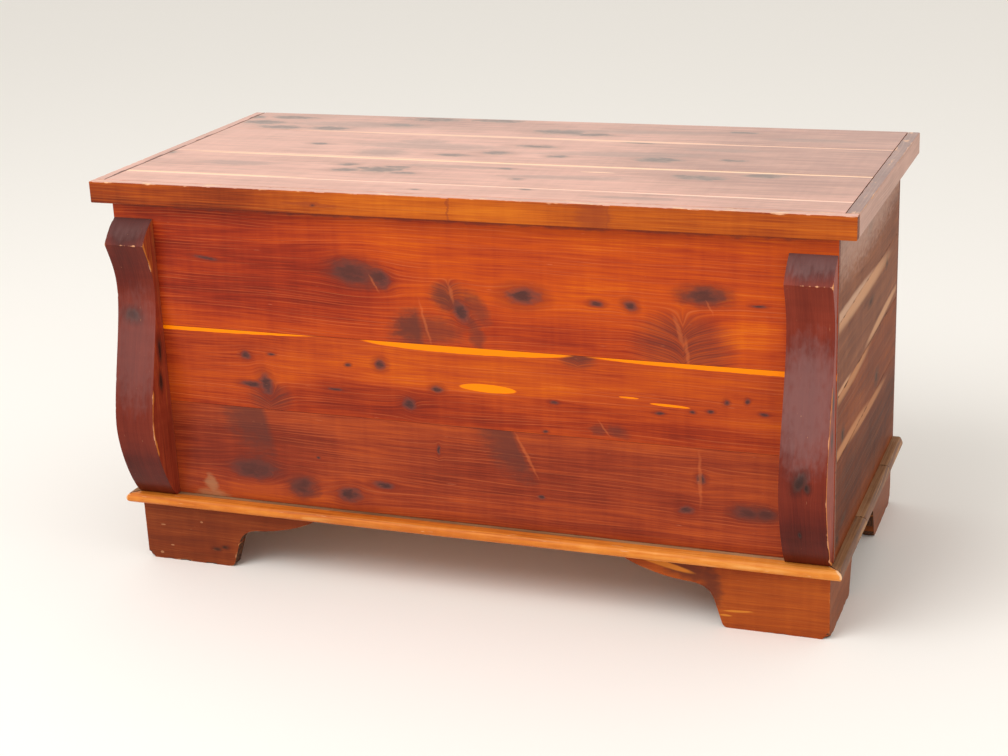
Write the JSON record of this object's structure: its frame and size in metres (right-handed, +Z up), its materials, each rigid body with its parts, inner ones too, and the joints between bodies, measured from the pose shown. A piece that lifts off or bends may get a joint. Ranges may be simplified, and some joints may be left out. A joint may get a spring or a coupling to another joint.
{
  "type": "blanket chest",
  "caption": "Cedar blanket chest with a hinged overhanging lid, scroll brackets at the front corners, a bullnosed base moulding and bracket feet.",
  "frame": {"origin": "on the floor, under the middle of the chest's overall box", "axes": "+X along the length to the chest's right side as seen from the front, +Y from the front to the hinges at the back, +Z up"},
  "size_m": [1.118, 0.5684, 0.5973],
  "materials": {
    "varnished_cedar": "clear gloss varnish over red cedar",
    "lid_cedar": "worn satin varnish over red cedar",
    "band_cedar": "clear gloss varnish over red cedar",
    "dark_cedar": "dark stained varnish, worn pale at its edges",
    "side_cedar": "thin dull varnish over red cedar with sapwood streaks",
    "honey_moulding": "amber varnish, chipped at its edge",
    "foot_cedar": "worn varnish over red cedar",
    "bare_cedar": "planed, unfinished",
    "plated_steel": "brass plated steel, dulled"
  },
  "bodies": {
    "case": {"back_board_lower": "side_cedar", "back_board_middle": "side_cedar", "back_board_upper": "side_cedar", "base_frame_back": "bare_cedar", "base_moulding_front": "honey_moulding", "base_moulding_left": "honey_moulding", "base_moulding_right_front": "honey_moulding", "base_moulding_right_middle": "honey_moulding", "base_moulding_right_rear": "honey_moulding", "floor_board_front": "bare_cedar", "floor_board_middle": "bare_cedar", "floor_board_rear": "bare_cedar", "front_board_lower": "varnished_cedar", "front_board_middle": "varnished_cedar", "front_board_upper": "varnished_cedar", "left_back_foot_board": "foot_cedar", "left_board_bottom": "side_cedar", "left_board_lower": "side_cedar", "left_board_top": "side_cedar", "left_board_upper": "side_cedar", "left_front_foot_board": "foot_cedar", "left_front_glue_block": "bare_cedar", "left_hinge_case_leaf": "plated_steel", "left_hinge_pin": "plated_steel", "left_rear_glue_block": "bare_cedar", "left_scroll_bracket": "dark_cedar", "left_side_foot_board": "foot_cedar", "right_back_foot_board": "foot_cedar", "right_board_bottom": "side_cedar", "right_board_lower": "side_cedar", "right_board_top": "side_cedar", "right_board_upper": "side_cedar", "right_front_foot_board": "foot_cedar", "right_front_glue_block": "bare_cedar", "right_hinge_case_leaf": "plated_steel", "right_hinge_pin": "plated_steel", "right_rear_glue_block": "bare_cedar", "right_scroll_bracket": "dark_cedar", "right_side_foot_board": "foot_cedar", "stay_stud_plate": "plated_steel"},
    "lid": {"left_hinge_lid_leaf": "plated_steel", "lid_board_front": "lid_cedar", "lid_board_rear": "lid_cedar", "lid_board_second": "lid_cedar", "lid_board_third": "lid_cedar", "lid_front_nosing": "band_cedar", "lid_left_end_cleat": "band_cedar", "lid_right_end_cleat": "band_cedar", "right_hinge_lid_leaf": "plated_steel", "stay_lid_plate": "plated_steel", "stay_rivet": "plated_steel"},
    "stay_arm": {"stay_slotted_arm": "plated_steel"}
  },
  "joints": [
    {"name": "lid_hinge", "type": "hinge", "parent": "case", "child": "lid", "pos_m": [0, 0.27615, 0.5745], "axis": [-1, 0, 0], "range_deg": [0, 95]},
    {"name": "stay_pivot", "type": "hinge", "parent": "lid", "child": "stay_arm", "pos_m": [-0.5083, 0.09635, 0.566], "axis": [-1, 0, 0], "range_deg": [-47.5, 0]}
  ],
  "couplings": [
    {"joint": "stay_pivot", "follows": "lid_hinge", "ratio": -0.5}
  ]
}
